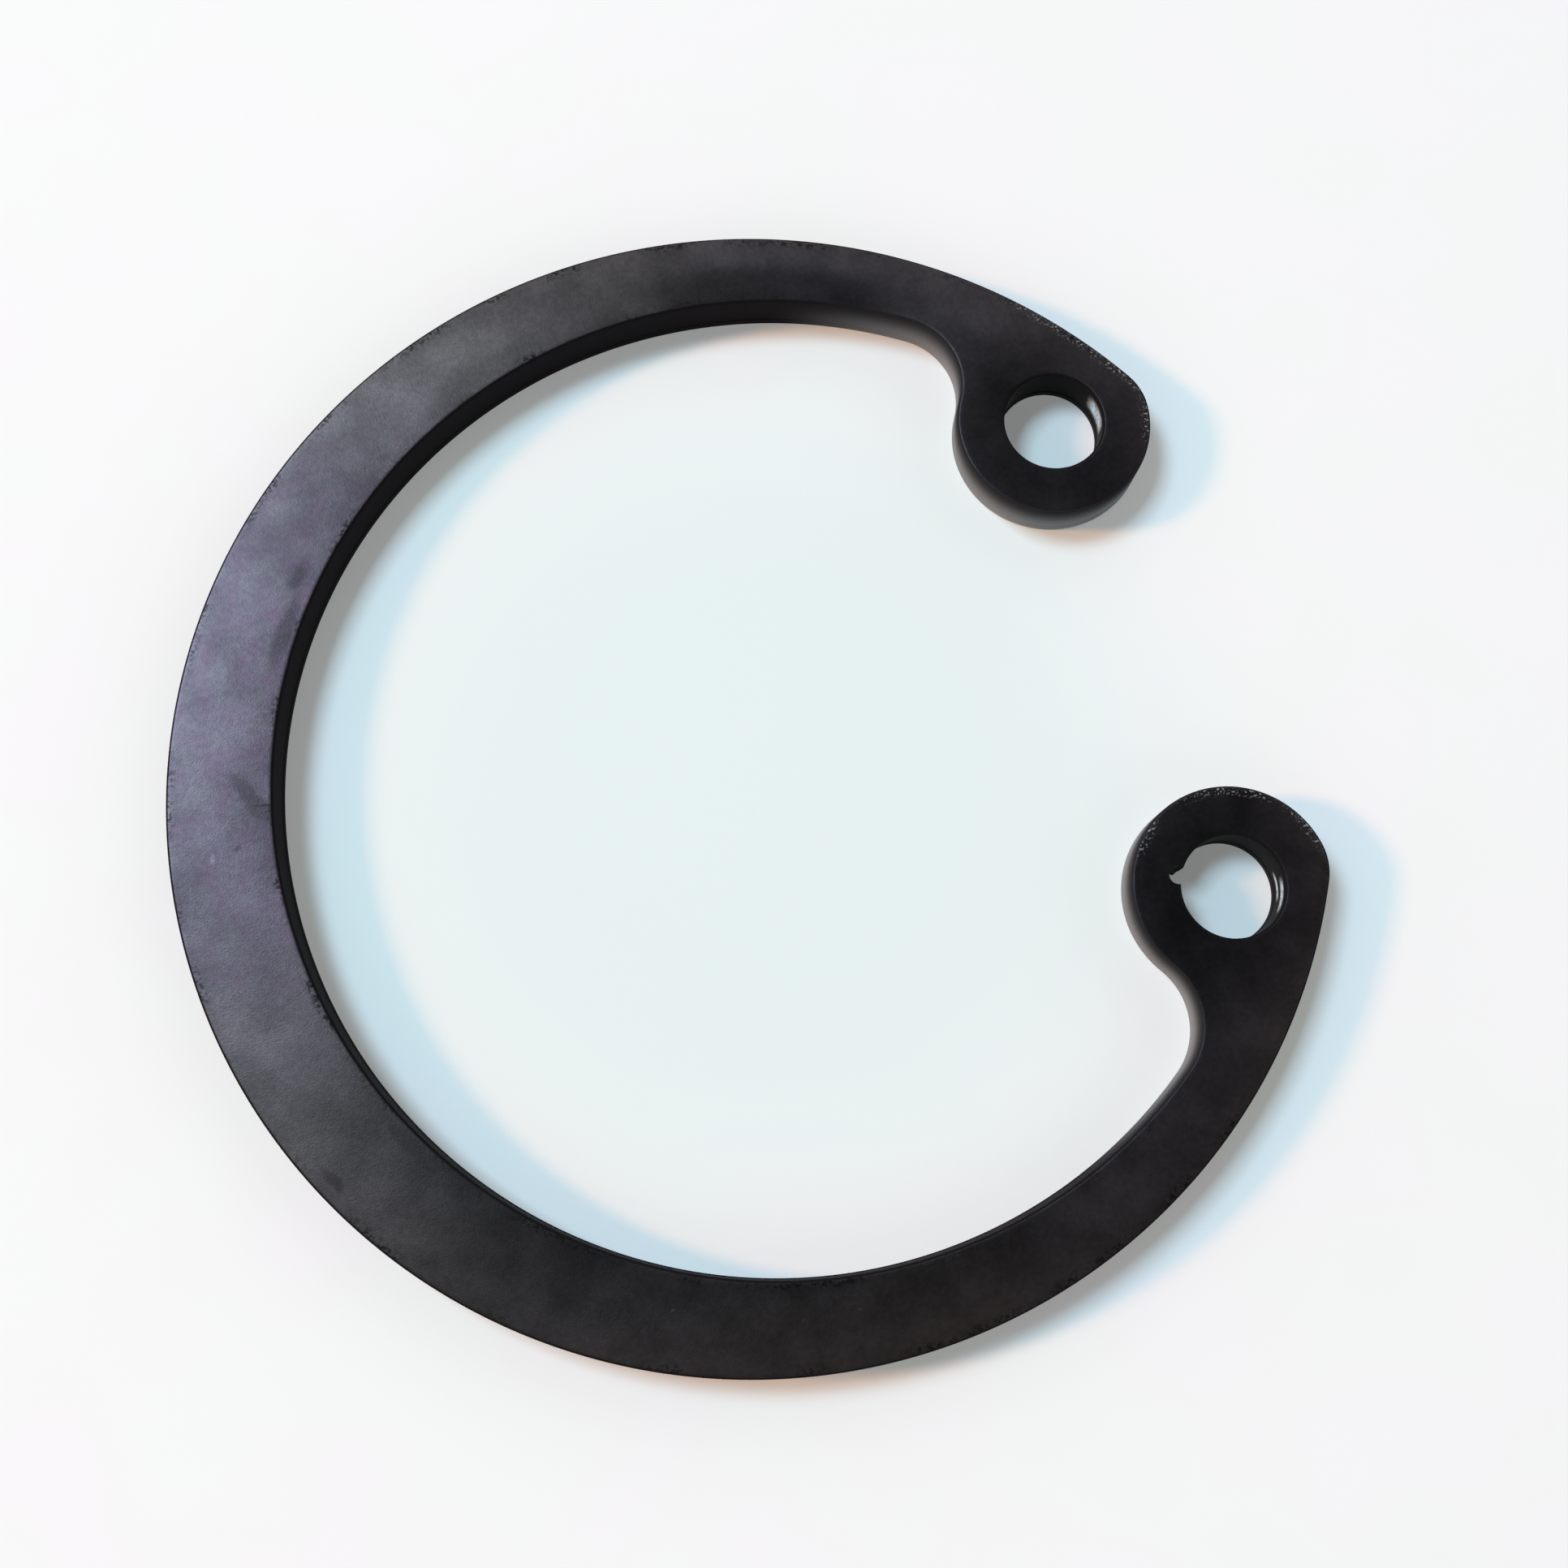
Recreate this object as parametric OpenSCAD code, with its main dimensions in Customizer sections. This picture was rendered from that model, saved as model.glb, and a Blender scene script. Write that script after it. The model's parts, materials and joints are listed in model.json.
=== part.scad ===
// Plate circlip for a piston pin, lying flat as it leaves the press.
// The rim is centred on Z, the underside lies at Z = 0 and the gap opens towards +X.

/* [Ring] */
// Outside diameter of the ring when nothing squeezes it
free_d = 26.9; // [26:0.1:28]
// Thickness of the spring steel strip
strip_t = 1.2; // [0.8:0.05:1.6]
// Width of the bow opposite the gap, where it is widest
back_w = 2.45; // [2.1:0.05:2.8]
// Width that the bow would have in the middle of the gap
front_w = 1.3; // [1.1:0.05:1.6]

/* [Lugs] */
// Radius of the rounded lug end, drawn about its plier hole
lug_r = 2.35; // [2.25:0.05:2.6]
// Distance from the rim to the middle of a plier hole
hole_inset = 2.15; // [1.9:0.05:2.2]
// Angle between the two plier holes, seen from the middle of the rim
hole_span = 64; // [56:1:72]
// Diameter of a plier hole
hole_d = 2.4; // [2:0.05:2.6]
// Radius of the fillet between a lug and the inner edge of the bow
fillet_r = 1.7; // [1.2:0.05:2.2]

/* [Edges] */
// Width of the sloped edge that the punch leaves round the upper face
roll_w = 0.1; // [0.05:0.01:0.15]
// Width of the tumbled edge round the underside
burr_w = 0.05; // [0.03:0.01:0.08]

/* [Nick] */
// How far the nick reaches out from the wall of its plier hole
nick_depth = 0.3; // [0.2:0.01:0.4]
// Radius of the nick's round bottom
nick_r = 0.22; // [0.12:0.01:0.26]
// Side of the hole that the nick is on, turned from +X about the hole
nick_turn = 150; // [120:5:210]

/* [Hidden] */
$fn = 144;
margin = 0.5;                                   // how far a cutter runs past what it cuts
lap = 0.3;                                      // how far along an edge two edge cutters overlap
bite = 0.005;                                   // lets the fillet cross the arcs that it blends

free_r = free_d / 2;
hole_r = hole_d / 2;
inner_r = free_r - (back_w + front_w) / 2;      // the inner edge is one circle
inner_x = (back_w - front_w) / 2;               // set off towards the gap
hole_turn = hole_span / 2;
hole_at = free_r - hole_inset;                  // radius of the circle through the plier holes
reach = 1.5 * free_r;                           // well outside the rim

inner_c = [inner_x, 0];
lug_c = hole_at * dir(hole_turn);

// The fillet circle touches the inner edge from within and the lug end from outside.
to_lug = lug_c - inner_c;
from_inner = inner_r - fillet_r;
from_lug = lug_r + fillet_r;
along = (to_lug * to_lug + from_inner ^ 2 - from_lug ^ 2) / (2 * norm(to_lug));
across = sqrt(from_inner ^ 2 - along ^ 2);
ahead = to_lug / norm(to_lug);
fillet_c = inner_c + along * ahead + across * [-ahead.y, ahead.x];

inner_turn = turn_of(fillet_c - inner_c);       // where the fillet runs into the inner edge
lug_turn = turn_of(fillet_c - lug_c);           // where it runs into the lug end
fillet_turn = lug_turn - 180;                   // the same place, seen from the fillet's centre

function turn_of(v) = atan2(v.y, v.x);
function dir(turn) = [cos(turn), sin(turn)];

// The turn that covers a length along an arc.
function turn_for(length, r) = length / r * 180 / PI;

// Draws its children on both sides of the gap.
module both_sides() {
  children();
  mirror([0, 1, 0]) children();
}

module disc(centre, r) {
  translate(centre) circle(r = r);
}

// Blank for the bow, with a gap as wide as the angle between the plier holes.
module bow_outline() {
  difference() {
    circle(r = free_r + margin);
    disc(inner_c, inner_r);
    polygon([[0, 0], reach * dir(hole_turn), [reach, 0], reach * dir(-hole_turn)]);
  }
}

// Fills the corner between a lug and the bow before the fillet is cut.
module web_outline() {
  bow_root = inner_c + (inner_r + front_w / 2) * dir(inner_turn);
  lug_root = (free_r - front_w / 2) * dir((2 * hole_turn + inner_turn) / 3);
  polygon([fillet_c, lug_c, lug_root, bow_root]);
}

// The ring in plan: a rim and an inner edge that aren't concentric, and two round lugs.
module outline() {
  difference() {
    intersection() {
      circle(r = free_r);
      union() {
        bow_outline();
        both_sides() {
          disc(lug_c, lug_r);
          web_outline();
        }
      }
    }
    both_sides() disc(fillet_c, fillet_r + bite);
  }
}

// Cutter for the sloped edge of a face at Z = 0 with the metal below it, along an arc.
// side is 1 where the metal lies inside the arc, and -1 where it lies outside.
// over is how far it runs past the edge.
module edge_cutter(centre, r, side, w, over, from = 0, to = 360) {
  out = r + side * over;
  translate([centre.x, centre.y, 0]) rotate(from) rotate_extrude(angle = to - from)
    polygon([[r - side * (w + over), over], [out, -w - over], [out, over]]);
}

// Cutters for every outer edge of such a face. The rim's slope is a little narrower than the lugs',
// and a fillet's is narrower still and its cutter runs on past its ends.
module edge_cutters(w) {
  inner_end = inner_turn + turn_for(lap, inner_r);
  lug_start = lug_turn + turn_for(lap, lug_r);
  run_on = turn_for(1.5 * lap, fillet_r);
  edge_cutter([0, 0], free_r, 1, 0.9 * w, margin);
  edge_cutter(inner_c, inner_r, -1, w, margin, inner_end, 360 - inner_end);
  both_sides() {
    edge_cutter(fillet_c, fillet_r + bite, -1, 0.8 * w, 0.8 * margin,
                fillet_turn - run_on, inner_turn + run_on);
    edge_cutter(lug_c, lug_r, 1, w, margin, lug_start, hole_turn + 360);
  }
}

// A plier hole with both its edges sloped.
module plier_hole() {
  out = hole_r + margin;
  translate([lug_c.x, lug_c.y, 0]) rotate_extrude()
    polygon([[0, -margin], [out + burr_w, -margin], [hole_r, burr_w], [hole_r, strip_t - roll_w],
             [out + roll_w, strip_t + margin], [0, strip_t + margin]]);
}

module nick() {
  nick_c = [lug_c.x, -lug_c.y] + (hole_r + nick_depth - nick_r) * dir(nick_turn);
  translate([nick_c.x, nick_c.y, -margin]) cylinder(h = strip_t + 2 * margin, r = nick_r);
}

module circlip() {
  color([0.16, 0.16, 0.18])
  difference() {
    linear_extrude(strip_t) outline();
    both_sides() plier_hole();
    nick();
    translate([0, 0, strip_t]) edge_cutters(roll_w);
    mirror([0, 0, 1]) edge_cutters(burr_w);
  }
}

circlip();
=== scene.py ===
import json
import math
import bmesh
import bpy
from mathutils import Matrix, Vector


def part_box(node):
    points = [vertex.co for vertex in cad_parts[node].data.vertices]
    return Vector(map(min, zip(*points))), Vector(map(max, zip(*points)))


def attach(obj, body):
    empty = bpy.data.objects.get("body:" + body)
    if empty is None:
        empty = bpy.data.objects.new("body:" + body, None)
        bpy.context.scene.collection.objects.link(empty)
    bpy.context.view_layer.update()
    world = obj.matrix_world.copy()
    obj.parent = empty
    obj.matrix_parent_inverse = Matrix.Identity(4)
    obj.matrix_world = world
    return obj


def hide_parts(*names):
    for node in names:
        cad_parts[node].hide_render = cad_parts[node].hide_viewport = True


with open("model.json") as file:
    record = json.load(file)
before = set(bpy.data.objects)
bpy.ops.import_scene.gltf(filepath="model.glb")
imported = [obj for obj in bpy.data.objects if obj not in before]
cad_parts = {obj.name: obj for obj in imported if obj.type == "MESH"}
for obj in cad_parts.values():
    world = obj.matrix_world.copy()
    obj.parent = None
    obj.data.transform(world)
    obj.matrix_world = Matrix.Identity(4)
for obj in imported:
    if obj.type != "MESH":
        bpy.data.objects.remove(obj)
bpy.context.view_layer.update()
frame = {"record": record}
mounts = {m["name"]: m for m in frame["record"]["mounts"]}
mm = 0.001      # the frame is in metres

rim = mounts["rim"]["dims"]["r_mm"] * mm
holeRadius = mounts["plier_hole_plain"]["dims"]["r_mm"] * mm
holeUp = Vector(mounts["plier_hole_plain"]["pos_m"][:2] + [0])
holeDown = Vector(mounts["plier_hole_nicked"]["pos_m"][:2] + [0])
holes = (holeUp, holeDown)
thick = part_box("circlip")[1].z      # the underside lies at 0


def turned(degrees, length=1.0):
    angle = math.radians(degrees)
    return Vector((length * math.cos(angle), length * math.sin(angle), 0))


def turnOf(v):
    return math.degrees(math.atan2(v.y, v.x))


def crossing(near, far, between):
    # where two circles cross, as the angle at the first one's centre from the line of centres
    return math.degrees(math.acos((near ** 2 + between ** 2 - far ** 2) / (2 * near * between)))


def editMode(on):
    bpy.ops.object.mode_set(mode="EDIT" if on else "OBJECT")


def selectVerts(obj, test):
    bpy.ops.mesh.select_all(action="DESELECT")
    bpy.ops.mesh.select_mode(type="VERT")
    mesh = bmesh.from_edit_mesh(obj.data)
    for v in mesh.verts:
        v.select = test(v)
    mesh.select_flush_mode()
    bmesh.update_edit_mesh(obj.data)


def selectFaces(obj, test):
    bpy.ops.mesh.select_all(action="DESELECT")
    bpy.ops.mesh.select_mode(type="FACE")
    mesh = bmesh.from_edit_mesh(obj.data)
    for f in mesh.faces:
        f.select = test(f)
    mesh.select_flush_mode()
    bmesh.update_edit_mesh(obj.data)


circlip = {
    "backWidth": 2.45 * mm,         # bow opposite the gap
    "frontWidth": 1.3 * mm,         # what the bow would have in the gap
    "lugRadius": 2.35 * mm,
    "filletRadius": 1.7 * mm,
    "cornerRadius": 1.4 * mm,       # where the lug's round meets the rim
    "nickDepth": 0.3 * mm,
    "nickRadius": 0.22 * mm,
    "nickTurn": 150,
    "step": 0.16 * mm,              # length of the little straights along an arc
    "rollWide": 0.07 * mm,          # rounded edge that the punch leaves on the upper face
    "rollDeep": 0.06 * mm,
    "burrWide": 0.05 * mm,          # tumbled edge of the underside
    "burrDeep": 0.05 * mm,
    "edgeSteps": 5,
    "crownWide": 0.05 * mm,         # gentle fall of the face beside the rounded edge
    "crownDeep": 0.003 * mm,
    "tornFrom": 0.18,               # torn part of the wall, as parts of the strip's thickness
    "tornTo": 0.5,
    "tornDeep": 0.012 * mm,
    "holeSides": 96,
    "nickSides": 32,
    "smoothAngle": 30,
    "weld": 0.001 * mm,             # vertices closer than this are one
    "flatFrom": 0.9,                # faces that look up or down more than this are flat
    "wallFrom": 0.97,               # on the finished ring, those that do so less than this are wall
    "holeMargin": 0.05 * mm,        # round a hole and its nick, what still counts as their wall
}


def arcWalk(start, arcs, step):
    # walks one vertex round arcs, each given as its centre and how far it turns
    bpy.ops.mesh.select_all(action="DESELECT")
    bpy.ops.mesh.primitive_plane_add(size=step, location=start)
    bpy.ops.mesh.merge(type="CENTER")
    here = start
    for centre, turn in arcs:
        radius = (here - centre).length
        steps = math.ceil(radius * math.radians(abs(turn)) / step)
        bpy.ops.mesh.spin(steps=steps, angle=math.radians(turn), center=centre, axis=(0, 0, -1))
        here = centre + turned(turnOf(here - centre) + turn, radius)


def roundEdge(wide, deep, steps):
    # a quarter of an ellipse, as insets of the selected region
    for i in range(steps):
        a = math.pi / 2 * i / steps
        b = math.pi / 2 * (i + 1) / steps
        inward = wide * (math.cos(a) - math.cos(b))
        bpy.ops.mesh.inset(thickness=inward, depth=deep * (math.sin(b) - math.sin(a)))


def innerEdge(c):
    # centre and radius of the inner circle, which is set off towards the gap
    centre = Vector(((c["backWidth"] - c["frontWidth"]) / 2, 0, 0))
    return centre, rim - (c["backWidth"] + c["frontWidth"]) / 2


def buildCirclip(c):
    low = Vector((0, 0, c["burrDeep"]))
    inner, innerRadius = innerEdge(c)

    # the fillet touches the inner edge from within and the lug from outside
    toLug = holeUp - inner
    filletOut = innerRadius - c["filletRadius"]
    filletAt = crossing(filletOut, c["lugRadius"] + c["filletRadius"], toLug.length)
    filletUp = inner + turned(turnOf(toLug) + filletAt, filletOut)
    filletDown = Vector((filletUp.x, -filletUp.y, 0))
    innerFrom = turnOf(filletUp - inner)
    lugEnd = turnOf(filletUp - holeUp)

    # the corner's round touches the rim and the lug's round from within
    cornerOut = rim - c["cornerRadius"]
    cornerLug = c["lugRadius"] - c["cornerRadius"]
    cornerAt = turnOf(holeUp) - crossing(cornerOut, cornerLug, holeUp.length)
    cornerUp = turned(cornerAt, cornerOut)
    cornerDown = Vector((cornerUp.x, -cornerUp.y, 0))
    lugFrom = turnOf(cornerUp - holeUp)
    cornerTurn = cornerAt - lugFrom
    lugTurn = lugFrom - lugEnd + 360
    filletTurn = innerFrom - lugEnd + 180

    bpy.ops.object.select_all(action="DESELECT")
    sides = c["holeSides"]
    bpy.ops.mesh.primitive_circle_add(vertices=sides, radius=holeRadius, location=holeUp + low)
    obj = bpy.context.object
    obj.name = "circlip_body"
    obj.data.name = "circlip_body"
    bpy.ops.object.transform_apply(location=True)
    editMode(True)
    arcWalk(turned(cornerAt, rim) + low, [
        (low, 360 - 2 * cornerAt),
        (cornerDown + low, cornerTurn),
        (holeDown + low, lugTurn),
        (filletDown + low, -filletTurn),
        (inner + low, 2 * innerFrom - 360),
        (filletUp + low, -filletTurn),
        (holeUp + low, lugTurn),
        (cornerUp + low, cornerTurn),
    ], c["step"])

    bpy.ops.mesh.select_all(action="DESELECT")
    bpy.ops.mesh.primitive_circle_add(vertices=sides, radius=holeRadius, location=holeDown + low)
    bpy.ops.mesh.select_all(action="SELECT")
    bpy.ops.mesh.remove_doubles(threshold=c["weld"])
    bpy.ops.mesh.select_all(action="SELECT")
    bpy.ops.mesh.fill(use_beauty=True)
    print("outline:", len(bmesh.from_edit_mesh(obj.data).verts), "vertices")

    # sheared wall, in rings from the underside up
    wallTop = thick - c["rollDeep"] - c["crownDeep"]
    tornFrom = thick * c["tornFrom"]
    tornTo = thick * c["tornTo"]
    level = c["burrDeep"]
    bpy.ops.mesh.select_all(action="SELECT")
    for nextLevel in (tornFrom, tornFrom + c["tornDeep"], tornTo - c["tornDeep"], tornTo, wallTop):
        rise = (0, 0, nextLevel - level)
        bpy.ops.mesh.extrude_region_move(TRANSFORM_OT_translate={"value": rise})
        level = nextLevel
    bpy.ops.mesh.select_all(action="SELECT")
    bpy.ops.mesh.normals_make_consistent(inside=False)
    near = c["weld"]
    flat = c["flatFrom"]
    bottom = c["burrDeep"]
    selectFaces(obj, lambda f: f.normal.z > flat and abs(f.calc_center_median().z - wallTop) < near)
    roundEdge(c["rollWide"], c["rollDeep"], c["edgeSteps"])
    bpy.ops.mesh.inset(thickness=c["crownWide"], depth=c["crownDeep"])
    selectFaces(obj, lambda f: f.normal.z < -flat and f.calc_center_median().z < bottom + near)
    roundEdge(c["burrWide"], c["burrDeep"], c["edgeSteps"])
    selectVerts(obj, lambda v: tornFrom + near < v.co.z < tornTo - near)
    bpy.ops.transform.shrink_fatten(value=-c["tornDeep"])
    bpy.ops.mesh.select_all(action="DESELECT")
    editMode(False)

    # nick in the side of the lower hole, cut right through
    nick = holeDown + turned(c["nickTurn"], holeRadius + c["nickDepth"] - c["nickRadius"])
    through = 4 * thick
    bpy.ops.object.select_all(action="DESELECT")
    bpy.ops.mesh.primitive_cylinder_add(
        vertices=c["nickSides"], radius=c["nickRadius"], depth=through, location=nick
    )
    punch = bpy.context.object
    bpy.context.view_layer.objects.active = obj
    cut = obj.modifiers.new("nick", "BOOLEAN")
    cut.operation = "DIFFERENCE"
    cut.solver = "EXACT"
    cut.object = punch
    bpy.ops.object.modifier_apply(modifier=cut.name)
    bpy.data.objects.remove(punch)
    bpy.ops.object.select_all(action="DESELECT")
    obj.select_set(True)
    bpy.ops.object.shade_smooth_by_angle(angle=math.radians(c["smoothAngle"]))
    print("circlip:", len(obj.data.polygons), "faces")
    return obj


def addNode(tree, kind, **settings):
    # settings name either a property of the node or one of its inputs
    node = tree.nodes.new(kind)
    for name, value in settings.items():
        if hasattr(node, name):
            setattr(node, name, value)
        else:
            node.inputs[name.replace("_", " ")].default_value = value
    return node


def feed(tree, socket, value):
    # value is another node's output, or a plain number, vector or colour
    if hasattr(value, "links"):
        tree.links.new(value, socket)
    else:
        socket.default_value = value


def math2(tree, operation, a, b):
    node = addNode(tree, "ShaderNodeMath", operation=operation)
    feed(tree, node.inputs[0], a)
    feed(tree, node.inputs[1], b)
    return node.outputs[0]


def product(tree, *values):
    total = values[0]
    for value in values[1:]:
        total = math2(tree, "MULTIPLY", total, value)
    return total


def opposite(tree, factor):
    return math2(tree, "SUBTRACT", 1, factor)


def apart(tree, a, b):
    return math2(tree, "ABSOLUTE", math2(tree, "SUBTRACT", a, b), 0)


def vectorMath(tree, operation, *vectors):
    node = addNode(tree, "ShaderNodeVectorMath", operation=operation)
    for socket, vector in zip(node.inputs, vectors):
        feed(tree, socket, vector)
    return node.outputs["Value" if operation in ("LENGTH", "DISTANCE") else "Vector"]


def spread(tree, value, fromMin, fromMax, toMin, toMax):
    # carries one range over to another, smoothly and no further
    node = addNode(tree, "ShaderNodeMapRange", interpolation_type="SMOOTHSTEP")
    node.inputs["From Min"].default_value = fromMin
    node.inputs["From Max"].default_value = fromMax
    node.inputs["To Min"].default_value = toMin
    node.inputs["To Max"].default_value = toMax
    tree.links.new(value, node.inputs["Value"])
    return node.outputs[0]


def startMaterial(name):
    mat = bpy.data.materials.new(name)
    mat.use_nodes = True
    tree = mat.node_tree
    place = tree.nodes.new("ShaderNodeTexCoord").outputs["Object"]
    return mat, tree, tree.nodes["Principled BSDF"], place


def axes(tree, place):
    node = tree.nodes.new("ShaderNodeSeparateXYZ")
    tree.links.new(place, node.inputs[0])
    return node.outputs


markCore = 0.35     # part of a mark's width where it is full
bandCore = 0.3      # and of a band's


def mark(tree, place, centre, turn, length, width):
    # 1 along the middle of a stroke on the face, given in mm and degrees, and 0 at its edge
    node = addNode(tree, "ShaderNodeMapping", vector_type="TEXTURE")
    node.inputs["Location"].default_value = (centre[0] * mm, centre[1] * mm, 0)
    node.inputs["Rotation"].default_value = (0, 0, math.radians(turn))
    node.inputs["Scale"].default_value = (length / 2 * mm, width / 2 * mm, 1)
    tree.links.new(place, node.inputs["Vector"])
    return spread(tree, vectorMath(tree, "LENGTH", node.outputs["Vector"]), markCore, 1, 1, 0)


def band(tree, place, centre, radius, wide):
    # 1 on a circle, falling to 0 beside it
    beside = apart(tree, vectorMath(tree, "DISTANCE", place, centre), radius)
    return spread(tree, beside, bandCore * wide, wide, 1, 0)


def strongest(tree, masks):
    total = masks[0]
    for mask in masks[1:]:
        total = math2(tree, "MAXIMUM", total, mask)
    return total


def marks(tree, place, strokes):
    return strongest(tree, [mark(tree, place, *stroke) for stroke in strokes])


def mixed(tree, factor, first, second):
    # first where the factor is 0, second where it is 1
    node = addNode(tree, "ShaderNodeMix", data_type="RGBA")
    tree.links.new(factor, node.inputs[0])
    feed(tree, node.inputs[6], first)
    feed(tree, node.inputs[7], second)
    return node.outputs[2]


def noise(tree, place, size, detail, output="Fac"):
    node = addNode(tree, "ShaderNodeTexNoise", Scale=1 / size, Detail=detail)
    tree.links.new(place, node.inputs["Vector"])
    return node.outputs[output]


def uneven(tree, clouds, low, high):
    # noise seldom leaves 0.3 to 0.7, so this is its whole range
    return spread(tree, clouds, 0.3, 0.7, low, high)


def bumps(tree, shader, height, deep):
    node = addNode(tree, "ShaderNodeBump", Distance=deep, Strength=1.0)
    tree.links.new(height, node.inputs["Height"])
    tree.links.new(node.outputs["Normal"], shader.inputs["Normal"])


face = {
    # colours of the film, and what lies on it
    "violet": (0.081, 0.0495, 0.061, 1),
    "slate": (0.074, 0.0505, 0.060, 1),
    "moss": (0.073, 0.0525, 0.057, 1),
    "plain": (0.080, 0.0590, 0.055, 1),
    "oiled": (0.076, 0.0590, 0.062, 1),
    "smudge": (0.030, 0.021, 0.023, 1),
    "dirt": (0.013, 0.010, 0.010, 1),
    "worn": (0.28, 0.29, 0.27, 1),
    "metallic": (0.95, 0.84),       # at the inner side and at the rim
    "roughness": (0.36, 0.4),       # it wanders between these
    "grainSize": 0.05 * mm,
    "grainDeep": 0.002 * mm,
    "upperFrom": 0.5 * thick,       # above this the marks and rubbed edges start
    "upperTo": 0.6 * thick,
    # where each colour lies
    "bloom": ((-11.3, 5.0), 0, 21, 21),     # the film shows its violet inside this mark
    "patchSize": 0.6 * mm,
    "patchSteps": (0.38, 0.5, 0.62),        # noise at which the film is moss, slate and violet
    "oiledFrom": 0 * mm,            # the film turns oily towards the lugs
    "oiledTo": 6 * mm,
    # how light the film is
    "liftFrom": -11 * mm,           # painted shade, darkest here and gone by there
    "liftTo": -4 * mm,
    "lift": (0.68, 1.0),            # how light it is there
    "radial": (0.7, 1.1),           # at the inner side and at the rim
    "radialBloom": (1.08, 0.84),    # the same in the violet bloom, where painted shade dims the highlight towards the rim
    "cloudSize": 0.96 * mm,
    "clouds": (0.83, 1.17),         # darkest and lightest
    "mottleSize": 0.132 * mm,
    "mottle": (0.9, 1.1),
    "paintedLugShade": 0.6,                   # painted shade that darkens the lugs
    "paintedLugShadeWide": 7,                  # in mm, as all marks are
    # stretches of painted shade and painted sheen, where the film is darker or lighter: centre,
    # turn, length, width and how much
    "paintedShadeAndSheen": [
        ((4.1, 11.2), -20, 9, 2.2, 0.45),
        ((-3.6, 11.1), 18, 8, 4, 1.45),
        ((-11.7, -1.2), 96, 8, 4, 1.22),
        ((-7.7, -8.5), -42, 6, 4, 0.72),
        ((4.9, -10.5), 25, 6, 4, 1.35),
    ],
    # centre, turn, length and width of each mark on the upper face
    "smudges": [
        ((-11.15, 2.95), -64, 2.1, 0.5),
        ((-11.0, 2.5), -40, 1.1, 0.6),
        ((-11.72, 1.87), 20, 0.3, 0.16),
        ((-8.78, 7.7), 49, 1.0, 0.5),
        ((-9.4, 6.5), 55, 2.6, 0.5),
        ((-9.85, -5.6), -60, 1.5, 0.6),
        ((-9.0, -6.5), -54, 1.2, 0.5),
        ((-11.59, -5.93), -63, 1.0, 0.35),
    ],
    "smudgeStrength": 0.6,
    "ragged": 0.12 * mm,            # how far the smudges' edges wander
    "raggedSize": 0.3 * mm,
    "creases": [
        ((-10.95, 2.66), -13, 0.7, 0.09),
    ],
    "creaseStrength": 0.85,
    "scratches": [
        ((-10.32, 4.78), -17, 0.36, 0.03),
        ((-10.27, 4.35), -104, 0.4, 0.03),
        ((-12.32, 1.81), -105, 0.34, 0.14),
        ((-5.42, -10.86), 10, 0.16, 0.08),
        ((-2.79, -11.95), 40, 0.12, 0.07),
        ((-1.55, -12.11), 0, 0.14, 0.07),
    ],
    "scratchStrength": 0.12,
    # dirt that clings along the edges of the bow, in crumbs
    "edgeWide": 0.3 * mm,
    "bowEnds": (5.5 * mm, 6.5 * mm),        # the inner edge gives way to the lugs here
    "dirtSize": 0.09 * mm,
    "dirtSteps": (0.47, 0.6),       # noise at which a crumb starts and is full
    "dirtStrength": 0.9,
    "dirtStretch": 1.3 * mm,        # it lies in stretches about this long
    "stretchSteps": (0.45, 0.62),
    # stretches of the rim and of the lugs' edges that are rubbed bright in specks
    "rubbedRim": [
        ((11.1, 7.1), -58, 7, 3),
    ],
    "rubbedLugs": [
        ((11.9, 5.0), -75, 2.6, 1.2),
        ((10.5, -3.9), 0, 3.4, 1.6),
        ((11.75, -5.2), -65, 1.8, 1.0),
        ((8.1, -4.2), 50, 1.5, 0.7),
    ],
    "speckSize": 0.06 * mm,
    "speckSteps": (0.54, 0.66),
}


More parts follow.
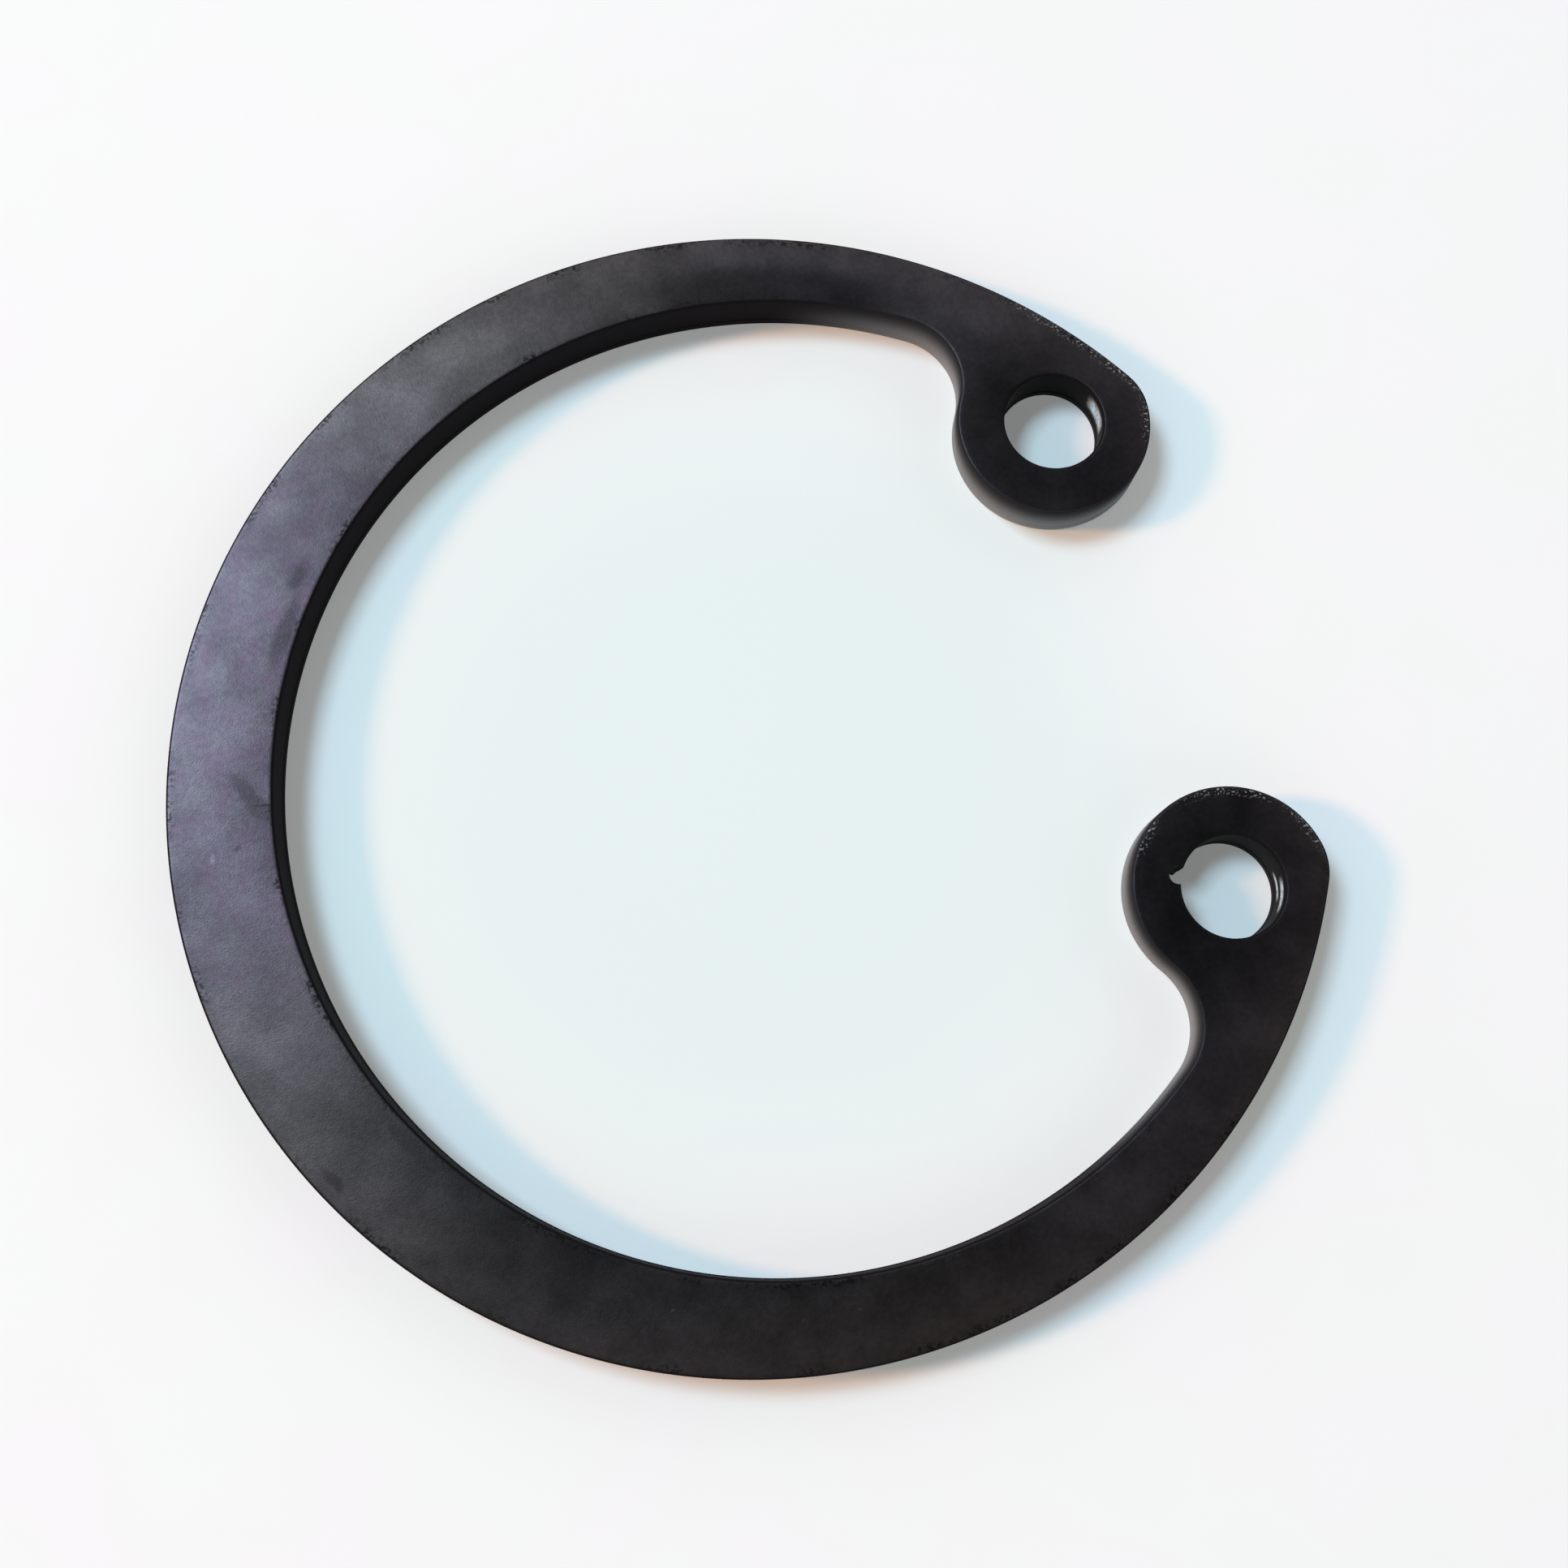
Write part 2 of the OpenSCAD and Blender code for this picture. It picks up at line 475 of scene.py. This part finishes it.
def faceFilm(s, c):
    mat, tree, shader, place = startMaterial("phosphated_face")
    flat = vectorMath(tree, "MULTIPLY", place, (1, 1, 0))
    axis = axes(tree, place)
    upper = spread(tree, axis["Z"], s["upperFrom"], s["upperTo"], 0, 1)

    # patches of colour in the film, a plain film away from them, and oil towards the lugs
    patches = noise(tree, place, s["patchSize"], 3.0)
    hues = tree.nodes.new("ShaderNodeValToRGB")
    ramp = hues.color_ramp.elements
    ramp.new(0.5)
    for step, at, colour in zip(ramp, s["patchSteps"], (s["moss"], s["slate"], s["violet"])):
        step.position = at
        step.color = colour
    tree.links.new(patches, hues.inputs["Fac"])
    inBloom = mark(tree, flat, *s["bloom"])
    film = mixed(tree, inBloom, s["plain"], hues.outputs["Color"])
    oily = spread(tree, axis["X"], s["oiledFrom"], s["oiledTo"], 0, 1)
    film = mixed(tree, oily, film, s["oiled"])

    # lighter to one side and towards the rim, darker on the lugs, uneven all over; the side, the
    # lugs and the stretches are painted shade and painted sheen
    out = vectorMath(tree, "LENGTH", flat)
    innerSide = rim - c["backWidth"]
    radial = product(tree, opposite(tree, inBloom), spread(tree, out, innerSide, rim, *s["radial"]))
    # in the bloom, painted shade darkens the film towards the rim
    radialBloom = product(tree, inBloom, spread(tree, out, innerSide, rim, *s["radialBloom"]))
    # painted shade over the lugs
    paintedLugShadeWide = s["paintedLugShadeWide"]
    paintedLugShade = marks(tree, flat, [(hole / mm, 0, paintedLugShadeWide, paintedLugShadeWide) for hole in holes])
    shade = product(
        tree,
        spread(tree, axis["Y"], s["liftFrom"], s["liftTo"], *s["lift"]),
        math2(tree, "ADD", radial, radialBloom),
        uneven(tree, noise(tree, place, s["cloudSize"], 5.0), *s["clouds"]),
        uneven(tree, noise(tree, place, s["mottleSize"], 3.0), *s["mottle"]),
        spread(tree, paintedLugShade, 0, 1, 1, s["paintedLugShade"]),
    )
    # painted shade and painted sheen, stretch by stretch
    for *stretch, amount in s["paintedShadeAndSheen"]:
        shade = product(tree, shade, spread(tree, mark(tree, flat, *stretch), 0, 1, 1, amount))
    tinted = addNode(tree, "ShaderNodeVectorMath", operation="SCALE")
    tree.links.new(film, tinted.inputs[0])
    tree.links.new(shade, tinted.inputs["Scale"])
    film = tinted.outputs[0]

    # marks on the upper face, the smudges with ragged edges
    wander = noise(tree, place, s["raggedSize"], 3.0, "Color")
    far = s["ragged"]
    ragged = vectorMath(tree, "MULTIPLY_ADD", wander, (2 * far, 2 * far, 0), flat)
    ragged = vectorMath(tree, "SUBTRACT", ragged, (far, far, 0))
    for strokes, where, strength, colour in (
        (s["smudges"], ragged, s["smudgeStrength"], s["smudge"]),
        (s["creases"], flat, s["creaseStrength"], s["smudge"]),
        (s["scratches"], flat, s["scratchStrength"], s["worn"]),
    ):
        there = product(tree, marks(tree, where, strokes), upper, strength)
        film = mixed(tree, there, film, colour)

    # dirt beside the edges of the bow
    wide = s["edgeWide"]
    atRim = band(tree, flat, Vector(), rim, wide)
    atInner = band(tree, flat, *innerEdge(c), wide)
    atInner = product(tree, atInner, spread(tree, axis["X"], *s["bowEnds"], 1, 0))
    dirt = product(
        tree,
        strongest(tree, [atRim, atInner]),
        spread(tree, noise(tree, place, s["dirtSize"], 3.0), *s["dirtSteps"], 0, s["dirtStrength"]),
        spread(tree, noise(tree, place, s["dirtStretch"], 2.0), *s["stretchSteps"], 0, 1),
    )
    film = mixed(tree, dirt, film, s["dirt"])

    # specks where an edge of the upper face is rubbed
    atLugs = strongest(tree, [band(tree, flat, hole, c["lugRadius"], wide) for hole in holes])
    rubbedRim = product(tree, atRim, marks(tree, flat, s["rubbedRim"]))
    rubbedLugs = product(tree, atLugs, marks(tree, flat, s["rubbedLugs"]))
    specks = spread(tree, noise(tree, place, s["speckSize"], 2.0), *s["speckSteps"], 0, 1)
    bright = product(tree, strongest(tree, [rubbedRim, rubbedLugs]), upper, specks)
    tree.links.new(mixed(tree, bright, film, s["worn"]), shader.inputs["Base Color"])

    bare = product(tree, spread(tree, out, innerSide, rim, *s["metallic"]), opposite(tree, bright))
    tree.links.new(bare, shader.inputs["Metallic"])
    tree.links.new(uneven(tree, patches, *s["roughness"]), shader.inputs["Roughness"])
    bumps(tree, shader, noise(tree, place, s["grainSize"], 2.0), s["grainDeep"])
    return mat


wall = {
    "colour": (0.008, 0.006, 0.0075, 1),
    "paintedReflection": (0.23, 0.25, 0.27, 1),         # painted reflection of the lit paper, low down round the lugs, but not on the rim
    "paintedReflectionFrom": 4 * mm,
    "paintedReflectionTo": 8 * mm,
    "paintedReflectionTop": 1.15 * mm,
    "paintedReflectionLeft": 0.05,              # how much of the painted reflection is left at the top
    "unpaintedRim": 0.5 * mm,
    "ior": 1.14,
    "roughness": 0.7,
    "streakSize": 0.06 * mm,
    "streakDeep": 0.0004 * mm,
    "streakUpright": 0.06,          # the smaller, the longer the streaks run up the wall
}


def shearedWall(s):
    mat, tree, shader, place = startMaterial("sheared_wall")
    shader.inputs["IOR"].default_value = s["ior"]
    shader.inputs["Roughness"].default_value = s["roughness"]
    axis = axes(tree, place)
    flat = vectorMath(tree, "MULTIPLY", place, (1, 1, 0))
    # painted reflection: the walls round the lugs are lighter low down, where they mirror the lit
    # paper
    paintedReflection = product(
        tree,
        spread(tree, axis["X"], s["paintedReflectionFrom"], s["paintedReflectionTo"], 0, 1),
        spread(tree, axis["Z"], 0, s["paintedReflectionTop"], 1, s["paintedReflectionLeft"]),
        opposite(tree, band(tree, flat, Vector(), rim, s["unpaintedRim"])),
    )
    tree.links.new(mixed(tree, paintedReflection, s["colour"], s["paintedReflection"]), shader.inputs["Base Color"])

    # drag lines that run through the strip's thickness
    upright = vectorMath(tree, "MULTIPLY", place, (1, 1, s["streakUpright"]))
    bumps(tree, shader, noise(tree, upright, s["streakSize"], 2.0), s["streakDeep"])
    return mat


punched = {
    "colour": (0.007, 0.006, 0.006, 1),
    # bright metal that paints the glints
    "paintedGlintPatched": (0.8, 0.88, 0.92, 1),
    "ior": 1.15,
    "roughness": (0.6, 0.35),       # of the wall and of the painted glints
    "raggedSize": 0.1 * mm,
    "raggedSteps": (0.3, 0.55),
    "raggedLeft": 0.3,
    # painted glints, stretches of bright metal where the hole walls show glints: centre, turn,
    # length and width, and then
    # their height on the wall and how far they reach above and below it
    "paintedGlintPatches": [
        ((10.81, 5.98), 92, 1.0, 1.2, 0.72, 0.36),
        ((10.76, -6.58), 64, 1.0, 1.2, 0.9, 0.15),
        ((10.86, -6.3), 74, 0.8, 1.2, 0.5, 0.1),
    ],
}


def punchedWall(s):
    mat, tree, shader, place = startMaterial("punched_wall")
    shader.inputs["IOR"].default_value = s["ior"]
    flat = vectorMath(tree, "MULTIPLY", place, (1, 1, 0))
    height = axes(tree, place)["Z"]
    stretches = []
    for *stretch, level, deep in s["paintedGlintPatches"]:
        line = spread(tree, apart(tree, height, level * mm), bandCore * deep * mm, deep * mm, 1, 0)
        stretches.append(product(tree, line, mark(tree, flat, *stretch)))
    ragged = noise(tree, place, s["raggedSize"], 2.0)
    ragged = spread(tree, ragged, *s["raggedSteps"], s["raggedLeft"], 1)
    # painted glints on the hole walls
    paintedGlintPatch = product(tree, strongest(tree, stretches), ragged)
    tree.links.new(mixed(tree, paintedGlintPatch, s["colour"], s["paintedGlintPatched"]), shader.inputs["Base Color"])
    tree.links.new(paintedGlintPatch, shader.inputs["Metallic"])
    tree.links.new(spread(tree, paintedGlintPatch, 0, 1, *s["roughness"]), shader.inputs["Roughness"])
    return mat


studio = {
    "floorSize": 3.0,
    "floorColour": (0.93, 0.925, 0.93, 1),
    "floorMint": (0.915, 0.935, 0.92, 1),   # faint uneven tints in the paper
    "tintSize": 4 * mm,
    "tintSteps": (0.35, 0.65),      # noise at which the paper is plain and minty
    # painted shade round the ring, where the paper is painted darker and greener
    "floorMiddle": (0.79, 0.885, 0.87, 1),
    "middleWide": 27,               # in mm
    "floorRoughness": 0.9,
    "floorSpecular": 0.1,
    "glow": 0.18,                   # part of the paper that shows its colour whatever the shade
    "lowLamp": {
        "elevation": 30.5,
        "azimuth": 161.7,
        "away": 0.8,
        "size": 0.1,
        "colour": (0.317, 0.134, 0.042),
        "shines": False,            # its orange would show in the steel from some sides
    },
    "highLamp": {
        "elevation": 57,
        "azimuth": 130,
        "away": 0.8,
        "size": 0.26,
        "colour": (0.376, 0.551, 0.672),
        "shines": True,
    },
    "sky": (0.63, 0.64, 0.62, 1),
    "overhead": (0.02, 0.02, 0.02, 1),
    "overheadFrom": 0.5,            # height where the sky starts to darken, and where it's dark
    "overheadTo": 0.93,
}


def makeFloor(s):
    bpy.ops.object.select_all(action="DESELECT")
    bpy.ops.mesh.primitive_plane_add(size=s["floorSize"])
    floor = bpy.context.object
    floor.name = "floor"
    mat, tree, shader, place = startMaterial("pale_paper")
    links = tree.links
    minty = spread(tree, noise(tree, place, s["tintSize"], 1.0), *s["tintSteps"], 0, 1)
    middle = mark(tree, place, (0, 0), 0, s["middleWide"], s["middleWide"])
    paper = mixed(tree, minty, s["floorColour"], s["floorMint"])
    paper = mixed(tree, middle, paper, s["floorMiddle"])
    links.new(paper, shader.inputs["Base Color"])
    shader.inputs["Roughness"].default_value = s["floorRoughness"]
    shader.inputs["Specular IOR Level"].default_value = s["floorSpecular"]

    # seen straight or in a reflection, part of the paper is its plain colour
    ray = tree.nodes.new("ShaderNodeLightPath").outputs
    seen = strongest(tree, [ray["Is Camera Ray"], ray["Is Glossy Ray"], ray["Is Transmission Ray"]])
    glow = tree.nodes.new("ShaderNodeEmission")
    links.new(paper, glow.inputs["Color"])
    both = tree.nodes.new("ShaderNodeMixShader")
    links.new(product(tree, seen, s["glow"]), both.inputs[0])
    links.new(shader.outputs[0], both.inputs[1])
    links.new(glow.outputs[0], both.inputs[2])
    links.new(both.outputs[0], tree.nodes["Material Output"].inputs["Surface"])
    floor.data.materials.append(mat)


def makeLamp(name, lamp):
    # colour is what the lamp adds to the brightness of a white floor
    toward = turned(lamp["azimuth"], math.cos(math.radians(lamp["elevation"])))
    toward.z = math.sin(math.radians(lamp["elevation"]))
    peak = max(lamp["colour"])
    bpy.ops.object.light_add(type="AREA", location=toward * lamp["away"])
    light = bpy.context.object
    light.name = name
    light.rotation_euler = toward.to_track_quat("Z", "Y").to_euler()
    light.data.size = lamp["size"]
    light.data.color = [part / peak for part in lamp["colour"]]
    light.data.energy = peak * math.pi ** 2 * lamp["away"] ** 2 / toward.z
    light.visible_glossy = lamp["shines"]


def makeWorld(s):
    world = bpy.data.worlds.new("studio")
    bpy.context.scene.world = world
    world.use_nodes = True
    tree = world.node_tree
    direction = tree.nodes.new("ShaderNodeTexCoord").outputs["Generated"]
    overhead = spread(tree, axes(tree, direction)["Z"], s["overheadFrom"], s["overheadTo"], 0, 1)
    sky = mixed(tree, overhead, s["sky"], s["overhead"])
    tree.links.new(sky, tree.nodes["Background"].inputs["Color"])


camera = {
    "place": (-3.22 * mm, -8.69 * mm, 41.66 * mm),
    "turn": (12.425, -1.429, -18.291),
    "lens": 41.31,
    "sensor": 36,
    "clip": (0.001, 10),
}


def makeCamera(s):
    bpy.ops.object.camera_add(location=s["place"], rotation=[math.radians(a) for a in s["turn"]])
    cam = bpy.context.object
    cam.data.lens = s["lens"]
    cam.data.sensor_width = s["sensor"]
    cam.data.clip_start, cam.data.clip_end = s["clip"]
    bpy.context.scene.camera = cam


def dress(obj, c):
    # film on the faces and their gently sloping edges, and the two walls elsewhere
    for material in (faceFilm(face, c), shearedWall(wall), punchedWall(punched)):
        obj.data.materials.append(material)
    reach = holeRadius + c["nickDepth"] + c["holeMargin"]
    for polygon in obj.data.polygons:
        centre = polygon.center.xy.to_3d()
        inHole = min((centre - hole).length for hole in holes) < reach
        if abs(polygon.normal.z) < c["wallFrom"]:
            polygon.material_index = 2 if inHole else 1
    print("finishes:", len(obj.data.materials))


body = buildCirclip(circlip)
dress(body, circlip)
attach(body, "root")
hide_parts("circlip")
print("circlip done")

makeFloor(studio)
makeLamp("low_lamp", studio["lowLamp"])
makeLamp("high_lamp", studio["highLamp"])
makeWorld(studio)
makeCamera(camera)
bpy.context.scene.view_settings.view_transform = "Standard"
print("studio done")
